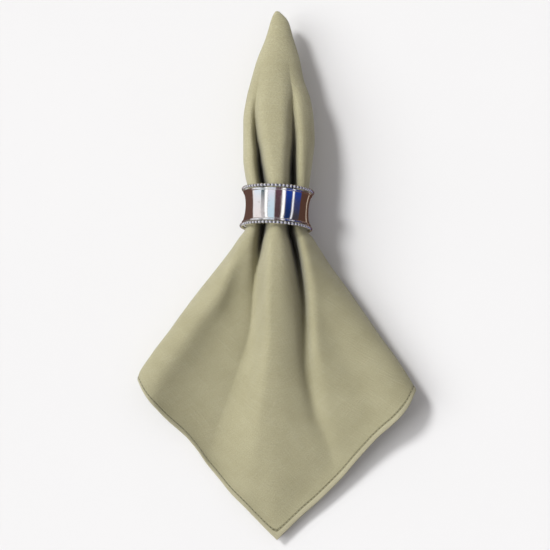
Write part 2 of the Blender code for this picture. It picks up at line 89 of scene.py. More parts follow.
class Wire:  # a node's output, with sums written as plain expressions
    def __init__(self, shade, socket):
        self.shade, self.socket = shade, socket

    def sum(self, operation, *values):
        inputs = dict(enumerate(values))
        return self.shade.add("ShaderNodeMath", {"operation": operation}, inputs)["Value"]

    def __add__(self, other):
        return self.sum("ADD", self, other)

    def __sub__(self, other):
        return self.sum("SUBTRACT", self, other)

    def __mul__(self, other):
        return self.sum("MULTIPLY", self, other)

    def __rsub__(self, other):
        return self.sum("SUBTRACT", other, self)

    def __abs__(self):
        return self.sum("ABSOLUTE", self)

    __radd__, __rmul__ = __add__, __mul__

    def cos(self):
        return self.sum("COSINE", self)

    def most(self, other):
        return self.sum("MAXIMUM", self, other)

    def between(self, low, high):  # 0 below low, 1 above high, smooth between
        return self.shade.add("ShaderNodeMapRange", {"interpolation_type": "SMOOTHSTEP"},
                              {"Value": self, "From Min": low, "From Max": high})["Result"]


class Shade:  # one material and the nodes in front of its shader
    def __init__(self, name, **constants):
        self.made = bpy.data.materials.new(name)
        self.made.use_nodes = True
        self.tree = self.made.node_tree
        self.shader = self.tree.nodes["Principled BSDF"]
        for socket, value in constants.items():
            self.shader.inputs[socket.replace("_", " ")].default_value = value

    def give(self, socket, value):
        if isinstance(value, Wire):
            self.tree.links.new(value.socket, socket)
        else:
            socket.default_value = value

    def add(self, kind, settings=None, inputs=None):
        node = self.tree.nodes.new(kind)
        for key, value in (settings or {}).items():
            setattr(node, key, value)
        for key, value in (inputs or {}).items():
            self.give(node.inputs[key], value)
        return {socket.name: Wire(self, socket) for socket in node.outputs if socket.enabled}

    def feed(self, **values):
        for socket, value in values.items():
            self.give(self.shader.inputs[socket.replace("_", " ")], value)

    def uv(self, name):
        return self.add("ShaderNodeUVMap", {"uv_map": name})["UV"]

    def split(self, vector):
        parts = self.add("ShaderNodeSeparateXYZ", inputs={"Vector": vector})
        return parts["X"], parts["Y"], parts["Z"]

    def noise(self, vector, scale, detail, stretch=(1, 1, 1)):
        placed = self.add("ShaderNodeMapping", inputs={"Vector": vector, "Scale": stretch})
        return self.add("ShaderNodeTexNoise", inputs={
            "Vector": placed["Vector"], "Scale": scale, "Detail": detail})["Fac"]

    def mix(self, factor, first, second, blend="MIX"):
        node = self.tree.nodes.new("ShaderNodeMix")
        node.data_type, node.blend_type = "RGBA", blend
        self.give(node.inputs[0], factor)
        for index, value in ((6, first), (7, second)):
            self.give(node.inputs[index], value if isinstance(value, Wire) else (*value, 1))
        return Wire(self, node.outputs[2])

    def bump(self, height, distance, strength):
        inputs = {"Height": height, "Distance": distance, "Strength": strength}
        return self.add("ShaderNodeBump", inputs=inputs)["Normal"]


# the napkin's cloth, on the folds of its solid

clothSizes = {  # millimetres, along the folded cloth from its closed tip unless said otherwise
    "side": 254.0,  # half a side of the flat square
    "seam": 249.5,  # from the flat square's middle to its seam
    "tipY": 176.1,  # the tip's place
    "loop": 33.4,  # where the pressed tip parts into four plies
    "plies": 4,
    "exit": 150.4,  # where the cloth leaves the ring
    "corner": 352.4,  # the open corner
    "hemWidth": 6.5,
    "rowStep": 2.3,
    "half": 0.5,  # half the sheet's thickness
    "ridgeSoft": 0.3,  # how softly the rows bend over the middle, 0 is sharp
    "leftDrop": 105.5, "rightDrop": 108.2,  # down from the ring to the side corners
    "leftFlap": 112.0, "rightFlap": 124.0,  # down from the ring to the turned corners' inner ends
    "hemStep": 0.9,  # how much shorter each inner hem is
    "wrap": 2.4,  # how far the right turned corner's outer bend stands out
    "bodyEnd": 3.0,  # the even rows stop this far from the seam
    "stitchesAt": 0.25,  # from the seam to the row under the stitches
    "restsBelow": 0.12,  # the outer face lies on the table where it is lower than this
    "thinTip": 6.0, "thinnest": 0.2,  # the tip thins from here on, to this share
    "poleZ": 17.9, "poleBack": 0.7,  # the closed corner's height, and its inner face's step back
}
tipRows = (0.6, 1.5, 2.6, 4.0, 5.8, 8.0, 10.5, 13.5, 16.5, 19.5, 22.5, 25.5, 28.5, 31.0)
fanLong = clothSizes["corner"] - clothSizes["exit"]
hemFrom = clothSizes["corner"] - clothSizes["hemWidth"]
hemRows = (-1.5, -0.6, -0.15, 0.25, 0.9, 2.4, 4.2, 5.6, 6.2, 6.5)  # from the seam to the edge
hemSides = (  # from the seam, then how far the outer and the inner face stand from the middle
    (-2.0, 0.5, 0.0), (-0.6, 0.48, 0.0), (-0.1, 0.22, -0.3), (0.25, 0.48, -0.48),
    (1.0, 0.68, -0.62), (4.2, 0.68, -0.62), (5.6, 0.58, -0.54), (6.2, 0.4, -0.4),
    (6.5, 0.12, -0.12),
)

outlineNames = ("tip", "left", "right", "bottom", "crest", "sideLeft", "sideRight",
                "rollLeft", "rollRight", "pitch", "flapLeft", "flapRight")
outline = (  # millimetres, by the distance from the closed tip
    (0.0, 0.9, 0.9, 17.0, 18.8, 1.8, 1.8, 0.9, 0.9, 1.5, 0.1, 0.1),
    (3.5, 2.6, 4.4, 15.6, 20.3, 4.7, 4.7, 3.5, 3.5, 1.5, 0.2, 0.2),
    (8.0, 3.9, 7.4, 14.2, 21.6, 7.4, 7.4, 5.6, 5.6, 1.5, 0.3, 0.3),
    (20.0, 7.4, 10.8, 11.2, 24.8, 13.6, 13.6, 9.1, 9.1, 1.5, 0.3, 0.6),
    (33.4, 12.6, 14.7, 8.8, 28.2, 19.4, 19.4, 13.6, 13.6, 1.5, 2.2, 4.6),
    (48.0, 16.7, 17.5, 7.2, 31.5, 24.3, 24.3, 17.1, 17.1, 1.7, 3.2, 5.2),
    (61.8, 20.0, 22.0, 5.8, 34.8, 29.0, 29.0, 21.0, 21.0, 1.8, 4.5, 5.4),
    (75.8, 21.9, 24.0, 4.8, 37.6, 32.8, 32.8, 22.9, 22.9, 1.8, 4.5, 5.6),
    (89.4, 21.9, 24.6, 4.3, 39.9, 35.6, 35.6, 23.2, 23.2, 1.8, 4.5, 5.8),
    (103.0, 21.8, 23.2, 4.2, 41.4, 37.2, 37.2, 22.5, 22.5, 1.8, 4.5, 6.0),
    (114.4, 20.4, 21.6, 4.3, 42.8, 38.5, 38.5, 21.0, 21.0, 1.8, 4.5, 6.0),
    (122.4, 18.8, 20.6, 4.6, 43.2, 38.6, 38.6, 19.7, 19.7, 1.8, 4.5, 6.0),
    (136.4, 18.6, 18.6, 5.3, 42.5, 37.2, 37.2, 18.6, 18.6, 1.8, 4.5, 6.0),
    (150.4, 20.6, 19.2, 4.4, 43.0, 38.6, 38.6, 19.8, 19.8, 1.8, 4.5, 6.0),
    (160.5, 24.8, 23.4, 2.4, 42.6, 37.0, 37.4, 19.2, 19.6, 1.95, 5.5, 7.0),
    (175.0, 30.4, 28.7, 0.9, 41.2, 32.5, 33.5, 18.0, 18.6, 1.95, 7.5, 9.0),
    (195.0, 38.7, 35.9, 0.5, 38.0, 28.0, 29.5, 16.0, 17.5, 1.95, 9.0, 10.5),
    (221.0, 49.4, 46.2, 0.5, 32.0, 25.0, 26.5, 14.5, 17.0, 1.95, 11.0, 12.5),
    (251.0, 60.8, 57.1, 0.5, 24.5, 24.5, 25.8, 13.0, 17.0, 1.9, 12.0, 13.0),
    (281.0, 71.2, 67.7, 0.5, 18.0, 23.5, 25.2, 12.5, 17.0, 1.85, 12.5, 13.5),
    (311.0, 81.7, 78.7, 0.5, 12.2, 22.5, 24.6, 12.0, 16.5, 1.8, 13.0, 14.0),
    (347.4, 91.0, 89.9, 0.6, 6.6, 21.5, 23.8, 11.5, 15.5, 1.75, 13.5, 14.5),
    (352.4, 91.2, 91.2, 0.6, 6.6, 21.5, 23.8, 11.5, 15.5, 1.75, 13.5, 14.5),
)

hemNames = ("across", "drop")  # from the middle, 0, to a side corner, 1: how far an edge waves down
leftHem = (
    (0.0, 0.0), (0.1, 0.7), (0.24, 1.2), (0.33, 1.8), (0.42, 0.4), (0.5, -0.5), (0.58, -3.2),
    (0.65, -4.0), (0.72, -2.9), (0.8, -1.6), (0.9, -1.4), (0.95, -2.8), (1.0, -7.5),
)
rightHem = (
    (0.0, 0.0), (0.15, 0.7), (0.31, 2.8), (0.455, 3.4), (0.58, 2.0), (0.71, 1.3), (0.87, 3.3),
    (0.93, 2.4), (1.0, -3.5),
)

foldNames = ("tip", "place", "depth", "left", "right", "broad")
leftFold = (  # place runs from -1 at the left side to 1 at the right side
    (33.4, -0.66, 0.0, 8.0, 8.0, 0.0), (47.0, -0.69, 0.8, 8.0, 8.0, 0.0),
    (60.4, -0.70, 2.2, 8.0, 8.0, 0.0), (74.0, -0.67, 4.5, 8.6, 8.0, 0.0),
    (87.4, -0.64, 7.5, 9.6, 8.2, 0.0), (100.8, -0.55, 10.5, 10.6, 8.4, 0.0),
    (114.4, -0.50, 13.0, 11.0, 8.6, 0.0), (136.4, -0.46, 14.0, 11.0, 8.6, 0.0),
    (150.4, -0.43, 14.0, 11.0, 8.8, 0.0), (160.5, -0.42, 12.5, 11.5, 9.0, 0.1),
    (175.0, -0.40, 10.5, 13.0, 9.5, 0.4), (195.0, -0.37, 8.6, 16.5, 11.0, 0.8),
    (221.0, -0.34, 7.4, 22.0, 14.0, 1.0), (251.0, -0.39, 6.6, 28.0, 18.0, 1.0),
    (281.0, -0.44, 5.8, 31.0, 22.0, 1.0), (311.0, -0.475, 4.6, 35.0, 26.0, 1.0),
    (352.4, -0.50, 3.0, 38.0, 28.0, 1.0),
)
rightFold = (
    (33.4, 0.46, 0.0, 8.0, 8.0, 0.0), (47.0, 0.48, 1.0, 8.0, 8.0, 0.0),
    (60.4, 0.45, 3.2, 8.0, 8.0, 0.0), (74.0, 0.41, 6.0, 8.0, 8.0, 0.0),
    (87.4, 0.41, 8.8, 8.2, 8.2, 0.0), (100.8, 0.43, 11.5, 8.4, 8.4, 0.0),
    (114.4, 0.46, 13.5, 8.6, 8.6, 0.0), (136.4, 0.49, 14.0, 8.6, 8.6, 0.0),
    (150.4, 0.46, 14.0, 8.8, 8.8, 0.0), (160.5, 0.47, 13.0, 10.0, 9.0, 0.0),
    (175.0, 0.475, 11.5, 12.5, 9.0, 0.0), (195.0, 0.465, 9.0, 16.0, 9.8, 0.0),
    (221.0, 0.41, 7.0, 19.0, 10.0, 0.0), (251.0, 0.37, 5.2, 22.0, 10.0, 0.0),
    (281.0, 0.38, 3.4, 23.0, 13.0, 0.0), (311.0, 0.42, 1.6, 24.0, 18.0, 0.0),
    (352.4, 0.45, 0.3, 24.0, 20.0, 0.0),
)
foldSizes = {
    "power": 2.2,  # how round the lobes beside a fold are
    "slope": 0.55,  # share of a broad fold's depth that is an even slope
    "tight": 0.9, "wide": 5.0,  # smallest bend radius by the ring and at the hem
    "tightTo": 155.4,  # from here to the hem the bends widen
    "deepest": 12.0,  # a valley of this depth gets the darkest painted shade
    "paintedShadeWidth": 1.3,  # width of the painted shade at a fold's bottom, in widths of its valley
    "fullDepth": 4.0,  # from this depth on an inner ply's bottom lies where the cloth is lowest
    "farthest": 0.72,  # an inner ply's bottom stays within this share of the half width
}

grooveNames = ("tip", "place", "depth", "reach")
groove = (
    (183.0, 0.60, 0.0, 7.0), (198.0, 0.62, 1.0, 10.0), (223.0, 0.65, 1.8, 12.0),
    (252.0, 0.71, 2.2, 13.0), (283.0, 0.78, 1.6, 13.0), (306.0, 0.79, 1.0, 13.0),
    (340.0, 0.80, 0.0, 13.0),
)

valleyNames = ("tip", "left", "right", "width", "panel")
valleys = (  # how much deeper the two main folds run at their bottoms, and the left one's panel
    (60.0, 0.0, 0.0, 1.9, 0.0), (80.0, 3.5, 3.0, 2.0, 0.0), (100.0, 8.0, 8.0, 2.2, 0.0),
    (114.0, 12.0, 12.0, 2.4, 0.0), (136.0, 12.0, 12.0, 2.5, 0.0), (150.0, 11.0, 12.0, 2.5, 0.0),
    (165.0, 6.0, 11.0, 2.7, 2.0), (178.0, 2.0, 9.0, 2.9, 4.0), (192.0, 0.4, 7.5, 3.2, 6.0),
    (206.0, 0.0, 6.2, 3.4, 7.0), (226.0, 0.0, 5.0, 3.7, 6.5), (250.0, 0.0, 3.6, 4.0, 5.0),
    (282.0, 0.0, 2.2, 4.6, 4.4), (318.0, 0.0, 0.8, 5.0, 3.4), (350.0, 0.0, 0.0, 5.0, 1.5),
)

wavePlaces = np.linspace(0, 1, 201)
hemWaves = [[smoothColumns(table, hemNames, place)["drop"] for place in wavePlaces]
            for table in (leftHem, rightHem)]

creaseNames = ("tip", "x", "depth", "width")
creases = (  # two soft creases, on the middle roll and on the right one
    ((150.0, -8.0, 0.0, 3.0), (165.0, -9.0, 0.7, 3.0), (195.0, -12.0, 1.1, 4.0),
     (230.0, -16.0, 0.9, 5.0), (275.0, -20.0, 0.4, 7.0), (310.0, -24.0, 0.0, 8.0)),
    ((108.0, 15.5, 0.0, 1.6), (120.0, 15.2, 0.8, 1.7), (136.0, 14.6, 1.0, 1.8),
     (150.0, 15.2, 0.8, 2.0), (165.0, 19.0, 0.0, 2.4)),
)

# the last colour is painted shade: the bottoms of the two main folds by the ring are darkened toward
# it
linenColours = {
    "darker": (0.40, 0.374, 0.236), "lighter": (0.445, 0.418, 0.272),
    "gaps": (0.70, 0.69, 0.64), "threads": (1.03, 1.03, 1.03),  # these two multiply the others
    "slubs": (0.50, 0.475, 0.35), "grain": (0.25, 0.235, 0.145), "hem": (0.56, 0.53, 0.40),
    "seam": (0.09, 0.085, 0.04), "deep": (0.02, 0.018, 0.01)}

plySteps = {  # steps along each part of a ply, which an inner ply has fewer of
    "outer": {"flap": 6, "roll": 14, "side": 9, "lobe": 22},
    "inner": {"flap": 2, "roll": 5, "side": 4, "lobe": 8},
}
farOff = 1e6  # a height that never counts


def halfRound(x, row):
    left = (-row["left"] + row["rollLeft"] - x) / row["rollLeft"]
    right = (x - row["right"] + row["rollRight"]) / row["rollRight"]
    return np.sqrt(1 - np.clip(np.maximum(left, right), 0, 1) ** 2)


def sideHeight(x, row):
    share = np.clip((x + row["left"]) / (row["left"] + row["right"]), 0, 1)
    return row["sideLeft"] * (1 - share) + row["sideRight"] * share


def across(x, row):
    return (x - (row["right"] - row["left"]) / 2) / ((row["right"] + row["left"]) / 2)


def foldX(fold, row):
    return ((row["right"] - row["left"]) + fold["place"] * (row["right"] + row["left"])) / 2


def ease(share):
    return share * share * (3 - 2 * share)


def foldShare(beside, fold):  # round lobes beside a fold, or a broad panel on its left
    left = np.clip(-beside / fold["left"], 0, 1)
    right = np.clip(beside / fold["right"], 0, 1)
    slope = foldSizes["slope"]
    panel = slope * (1 - left) + (1 - slope) * (1 - ease(left ** 3)) - ease(right)
    lobes = (1 - np.maximum(left, right)) ** foldSizes["power"]
    return fold["broad"] * panel + (1 - fold["broad"]) * lobes


def upperHeight(x, row, folds):
    height = row["bottom"] + sideHeight(x, row) / 2 * (1 + halfRound(x, row))
    level = row["bottom"] + (row["sideLeft"] + row["sideRight"]) / 2
    height = height + (row["crest"] - level) * (1 - np.clip(across(x, row), -1, 1) ** 2)
    valley = smoothColumns(valleys, valleyNames, row["tip"])
    for fold, side, more in zip(folds, ("left", "right"), (valley["panel"], 0.0)):
        beside = x - foldX(fold, row)
        height = height - (fold["depth"] + more) * foldShare(beside, fold)
        height = height - valley[side] * np.exp(-(beside / valley["width"]) ** 2)
    if groove[0][0] < row["tip"] < groove[-1][0]:
        line = smoothColumns(groove, grooveNames, row["tip"])
        near = np.clip(np.abs(x - foldX(line, row)) / line["reach"], 0, 1)
        height = height - line["depth"] * (1 - near ** 2) ** 2
    return height


def paintedShadeShare(x, row, folds):  # how much painted shade darkens the cloth: 1 far down inside the two main folds by the ring, 0 on open cloth
    valley = smoothColumns(valleys, valleyNames, row["tip"])
    width = valley["width"] * foldSizes["paintedShadeWidth"]
    shares = [valley[side] / foldSizes["deepest"] * np.exp(-((x - foldX(fold, row)) / width) ** 2)
              for fold, side in zip(folds, ("left", "right"))]
    return np.maximum(*shares)


def creased(x, height, distance):
    for crease in creases:
        if crease[0][0] <= distance <= crease[-1][0]:
            line = smoothColumns(crease, creaseNames, distance)
            height = height - line["depth"] * np.exp(-((x - line["x"]) / line["width"]) ** 2)
    return height


def lowerHeight(x, row):
    return row["bottom"] + sideHeight(x, row) / 2 * (1 - halfRound(x, row))


def shifted(x, height, reach, sign, at=None):  # a height curve moved down, -1, or up, 1
    at = x if at is None else at
    angles = np.linspace(-math.pi / 2, math.pi / 2, 33)
    places = at[None, :] + reach * np.sin(angles)[:, None]
    moved = np.interp(places, x, height, left=-farOff, right=-farOff)
    moved = moved + sign * reach * np.cos(angles)[:, None]
    return moved.max(axis=0) if sign > 0 else moved.min(axis=0)


def roundedFolds(x, height, distance):
    radius = np.interp(distance, (foldSizes["tightTo"], clothSizes["corner"]),
                       (foldSizes["tight"], foldSizes["wide"]))
    beyond = np.linspace(0.05, 1.0, 20) * radius
    wide = np.concatenate([x[0] - beyond[::-1], x, x[-1] + beyond])
    up = shifted(x, height, radius, 1, wide)
    return np.maximum(shifted(wide, up, radius, -1, x), height)


def curvePart(x, height, start, end, steps, crowd=1.0):
    low, high = min(start, end), max(start, end)
    inside = (x > low) & (x < high)
    xs = np.concatenate([[low], x[inside], [high]])
    zs = np.interp(xs, x, height)
    if start > end:
        xs, zs = xs[::-1], zs[::-1]
    run = np.concatenate([[0], np.cumsum(np.hypot(np.diff(xs), np.diff(zs)))])
    marks = np.linspace(0, 1, steps + 1)
    marks = run[-1] * (marks ** crowd if crowd > 0 else 1 - (1 - marks) ** -crowd)
    return np.stack([np.interp(marks, run, xs), np.interp(marks, run, zs)], axis=1)


def foldBottom(x, height, fold, middle, inset, end):  # where a ply is lowest beside a fold's middle
    reach = foldSizes["tight"] + inset
    window = x[np.abs(x - middle) <= reach]
    share = (window - middle + reach) / (2 * reach)
    first, last = np.interp([middle - reach, middle + reach], x, height)
    below = first * (1 - share) + last * share - np.interp(window, x, height)
    found = middle
    if len(window) and inset:
        pull = min(1, fold["depth"] / foldSizes["fullDepth"])
        found += (window[int(np.argmax(below))] - middle) * pull
    return math.copysign(min(abs(found), foldSizes["farthest"] * abs(end)), end)


def rowDrop(out, right, share):  # how far below the ring a row of the fan lies at each place
    sideDrop = np.where(right, clothSizes["rightDrop"], clothSizes["leftDrop"])
    soft = clothSizes["ridgeSoft"] * (1 - share ** 2) + 1e-6
    bent = (np.hypot(out, soft) - soft) / (np.hypot(1, soft) - soft)
    drop = fanLong * (1 - bent) + sideDrop * bent
    waves = [np.interp(out, wavePlaces, wave) for wave in hemWaves]
    return drop + np.where(right, waves[1], waves[0]) * share ** 2


def placeY(over, x, row, ply):  # straight as far as the ring, a wide V below it
    distance = row["tip"]
    if distance <= clothSizes["exit"]:
        return np.full(len(x), clothSizes["tipY"] - distance)
    share = (distance - clothSizes["exit"]) / fanLong
    share *= 1 - ply * clothSizes["hemStep"] * share / fanLong
    place = across(x, row)
    right, out = place > 0, np.abs(place)
    inset = ply * row["pitch"]
    side = np.where(right, abs(across(row["right"] - inset, row)),
                    abs(across(inset - row["left"], row)))
    end = np.where(right, abs(across(row["flapRight"], row)), abs(across(-row["flapLeft"], row)))
    atSide = rowDrop(side, right, share)
    atEnd = np.where(right, clothSizes["rightFlap"], clothSizes["leftFlap"])
    flap = atSide + (atEnd - atSide) * (side - out) / (side - end)
    drop = np.where(over, rowDrop(out, right, share), flap)
    return clothSizes["tipY"] - clothSizes["exit"] - share * drop


def plySection(row, folds, ply):  # from the left flap's end, under, over the top and back
    steps = plySteps["inner" if ply else "outer"]
    inset = ply * row["pitch"]
    left, right = -row["left"], row["right"]
    crowd = np.geomspace(0.002, 2.0, 30)  # closer places where the sides turn round
    x = np.unique(np.concatenate([np.linspace(left, right, 900),
                                  left + crowd * min(1, row["left"] / 4),
                                  right - crowd * min(1, row["right"] / 4)]))
    upper = creased(x, upperHeight(x, row, folds), row["tip"])
    upper = roundedFolds(x, upper, row["tip"])
    top = shifted(x, upper, inset, -1)
    under = shifted(x, lowerHeight(x, row), inset, 1)
    ends = (left + inset, right - inset)
    middles = [row["bottom"] + row[side] / 2 for side in ("sideLeft", "sideRight")]
    keep = (x > ends[0] + 0.01) & (x < ends[1] - 0.01)
    xs = np.concatenate([[ends[0]], x[keep], [ends[1]]])
    top = np.concatenate([middles[:1], top[keep], middles[1:]])
    under = np.concatenate([middles[:1], under[keep], middles[1:]])
    bottoms = [foldBottom(xs, top, fold, foldX(fold, row), inset, end)
               for fold, end in zip(folds, ends)]
    marks = (ends[0], min((ends[0] + bottoms[0]) / 2, ends[0] + row["rollLeft"]), bottoms[0], 0.0,
             bottoms[1], max((ends[1] + bottoms[1]) / 2, ends[1] - row["rollRight"]), ends[1])
    counts = [steps["side"]] + [steps["lobe"]] * 4 + [steps["side"]]
    crowds = (1, -1.35, 1.35, -1.35, 1.35, 1)  # closer steps at the fold bottoms
    wraps = ply in (0, 3) and row["tip"] >= clothSizes["loop"]
    flaps = (-row["flapLeft"], row["flapRight"] - (clothSizes["wrap"] if wraps else 0.0))
    bends = [end + (flap - end) * min(0.7, row[roll] / abs(flap - end))
             for end, flap, roll in zip(ends, flaps, ("rollLeft", "rollRight"))]
    parts = [curvePart(xs, under, flaps[0], bends[0], steps["flap"]),
             curvePart(xs, under, bends[0], ends[0], steps["roll"])[1:]]
    lower = sum(len(part) for part in parts) - 1
    middle = lower + sum(counts[:3])
    for start, end, count, crowd in zip(marks[:-1], marks[1:], counts, crowds):
        parts.append(curvePart(xs, top, start, end, count, crowd)[1:])
    higher = sum(len(part) for part in parts) - 1
    parts += [curvePart(xs, under, ends[1], bends[1], steps["roll"])[1:],
              curvePart(xs, under, bends[1], flaps[1], steps["flap"])[1:]]
    points = np.concatenate(parts)
    order = np.arange(len(points))
    over = (order > lower) & (order < higher)
    run = np.concatenate([[0], np.cumsum(np.hypot(*np.diff(points, axis=0).T))])
    half = run[middle]  # the flat square's diagonal runs down the middle of each ply
    flat = np.where(order <= middle, 0.5 * run / half,
                    0.5 + 0.5 * (run - half) / (run[-1] - half))
    y = placeY(over, points[:, 0], row, ply)
    # share of painted shade, on the outer ply's top face only
    deep = paintedShadeShare(points[:, 0], row, folds) * (over if ply == 0 else 0)
    return np.stack([points[:, 0], y, points[:, 1], flat, deep], axis=1)


def turn(start, end, side, steps, at):  # a fold edge's half round bend between two plies
    angles = math.pi * np.arange(1, steps + 1)[:, None] / (steps + 1)
    share = (1 - np.cos(angles)) / 2
    points = start * (1 - share) + end * share
    points[:, 0] += side * abs(end[2] - start[2]) / 2 * np.sin(angles[:, 0])
    points[:, 3] = at
    return points


def rowPlies(distance, count):
    row = smoothColumns(outline, outlineNames, distance)
    folds = [smoothColumns(table, foldNames, distance) for table in (leftFold, rightFold)]
    return [plySection(row, folds, ply) for ply in range(count)]


def loopRow(distance):  # the four plies as one loop: x, y, z, the way round the square and the share of painted shade
    first, second, third, fourth = rowPlies(distance, clothSizes["plies"])
    fourth = fourth[::-1] * (1, 1, 1, -1, 1) + (0, 0, 0, 2, 0)
    third = third + (0, 0, 0, 2, 0)
    second = second[::-1] * (1, 1, 1, -1, 1) + (0, 0, 0, 4, 0)
    return np.concatenate([
        first, turn(first[-1], fourth[0], -1, 4, 1.0),
        fourth, turn(fourth[-1], third[0], 1, 2, 2.0),
        third, turn(third[-1], second[0], -1, 2, 3.0),
        second, turn(second[-1], first[0], 1, 2, 4.0)])


def flatPlace(way, distance):  # metres on the flat square, going round it at one distance
    reach = distance / clothSizes["corner"] * clothSizes["side"] * mm
    way = way % 4
    share = way - np.floor(way)
    quarter = np.floor(way).astype(int)
    first = np.minimum(1, 2 * share)
    second = np.minimum(1, 2 - 2 * share)
    u = np.choose(quarter, [first, second, -first, -second])
    v = np.choose(quarter, [second, -first, -second, first])
    return np.stack([u * reach, v * reach], axis=-1)


def gridNormals(grid, closed):
    along = np.gradient(grid, axis=0)
    if closed:
        before, after = grid - np.roll(grid, 1, axis=1), np.roll(grid, -1, axis=1) - grid
    else:
        step = np.diff(grid, axis=1)
        before = np.concatenate([step[:, :1], step], axis=1)
        after = np.concatenate([step, step[:, -1:]], axis=1)
    before = before / np.maximum(np.linalg.norm(before, axis=2, keepdims=True), 1e-9)
    after = after / np.maximum(np.linalg.norm(after, axis=2, keepdims=True), 1e-9)
    normal = np.cross(along, before + after)
    return normal / np.linalg.norm(normal, axis=2, keepdims=True)


def clothRows():
    first, last = clothSizes["loop"], hemFrom - clothSizes["bodyEnd"]
    body = np.linspace(first, last, int((last - first) / clothSizes["rowStep"]))
    return np.concatenate([body, hemFrom + np.array(hemRows)])


def sheetSides(rows):  # how far the outer and the inner face stand from the middle, by row
    at, outer, inner = np.array(hemSides).T
    return np.interp(rows, hemFrom + at, outer), np.interp(rows, hemFrom + at, inner)


def clothFaces(count, columns, tipCount, width):  # both faces of the sheet, the hem and the tip
    sheet, tip = count * columns, tipCount * width
    base = {"outer": 0, "inner": sheet}
    tipBase = {"outer": 2 * sheet, "inner": 2 * sheet + tip}
    poleAt = 2 * (sheet + tip)
    faces = []

    def at(layer, row, column):  # rows below 0 are the tip's, counted back from the first loop
        if row >= 0:
            return base[layer] + row * columns + column % columns
        if row >= -tipCount:
            return tipBase[layer] + (tipCount + row) * width + column
        return poleAt + (layer == "inner")

    def quad(*corners):
        kept = [corner for k, corner in enumerate(corners) if corner != corners[k - 1]]
        if len(set(kept)) > 2:
            faces.append(tuple(kept))

    for column in range(columns):
        first = -tipCount - 1 if column < width - 1 else 0
        for row in range(first, count - 1):
            a, b = (row, column), (row, column + 1)
            c, d = (row + 1, column + 1), (row + 1, column)
            quad(*(at("outer", *corner) for corner in (a, d, c, b)))
            quad(*(at("inner", *corner) for corner in (a, b, c, d)))
        if column >= width - 1:
            quad(at("outer", 0, column), at("outer", 0, column + 1),
                 at("inner", 0, column + 1), at("inner", 0, column))
        quad(at("outer", count - 1, column), at("inner", count - 1, column),
             at("inner", count - 1, column + 1), at("outer", count - 1, column + 1))
    for row in range(-tipCount - 1, 0):
        quad(at("outer", row, 0), at("inner", row, 0),
             at("inner", row + 1, 0), at("outer", row + 1, 0))
        quad(at("outer", row, width - 1), at("outer", row + 1, width - 1),
             at("inner", row + 1, width - 1), at("inner", row, width - 1))
    return faces


def makeCloth(finish):
    rows = clothRows()
    loops = np.array([loopRow(distance) for distance in rows])
    grid, way, deep = loops[..., :3], loops[..., 3], loops[..., 4]
    grid[..., 2] = np.maximum(grid[..., 2], clothSizes["half"])  # no ply dips into the table
    tipDistances = np.array(tipRows)
    tips = np.array([rowPlies(distance, 1)[0] for distance in tipDistances])  # the outer ply alone
    tipGrid, width = tips[..., :3], tips.shape[1]
    whole = np.concatenate([tipGrid, grid[:4, :width]])
    wholeNormal = gridNormals(whole, False)
    normal = gridNormals(grid, True)
    normal[0, :width] = wholeNormal[len(tips)]  # the loops go on smoothly from the tip
    outerOff, innerOff = sheetSides(rows)
    outer = grid + normal * outerOff[:, None, None]
    inner = grid + normal * innerOff[:, None, None]
    outer[..., 2] = np.where(outer[..., 2] < clothSizes["restsBelow"], 0, outer[..., 2])
    shrink = np.clip(tipDistances / clothSizes["thinTip"], clothSizes["thinnest"], 1)
    tipOff = clothSizes["half"] * shrink[:, None, None]
    tipOuter = tipGrid + wholeNormal[:len(tips)] * tipOff
    poleY, poleZ = clothSizes["tipY"], clothSizes["poleZ"]
    poles = np.array([[0.0, poleY, poleZ], [0.0, poleY - clothSizes["poleBack"], poleZ]])
    points = np.concatenate([part.reshape(-1, 3)
                             for part in (outer, inner, tipOuter, tipGrid, poles)])
    faces = clothFaces(*grid.shape[:2], len(tips), width)
    cloth = meshPiece("linen_cloth", points, faces, finish)
    flat = flatPlace(way, rows[:, None]).reshape(-1, 2)
    tipFlat = flatPlace(tips[..., 3], tipDistances[:, None]).reshape(-1, 2)
    addUv(cloth, "flat", np.concatenate([flat, flat, tipFlat, tipFlat, np.zeros((2, 2))]))
    # the share of painted shade goes to the cloth as a UV layer
    paintedShades = np.concatenate([deep.ravel(), deep.ravel(), np.zeros(len(points) - 2 * deep.size)])
    addUv(cloth, "deep", np.stack([paintedShades, paintedShades], axis=1))
    seamRow = int(np.argmin(np.abs(rows - (hemFrom + clothSizes["stitchesAt"]))))
    return cloth, outer[seamRow], normal[seamRow]


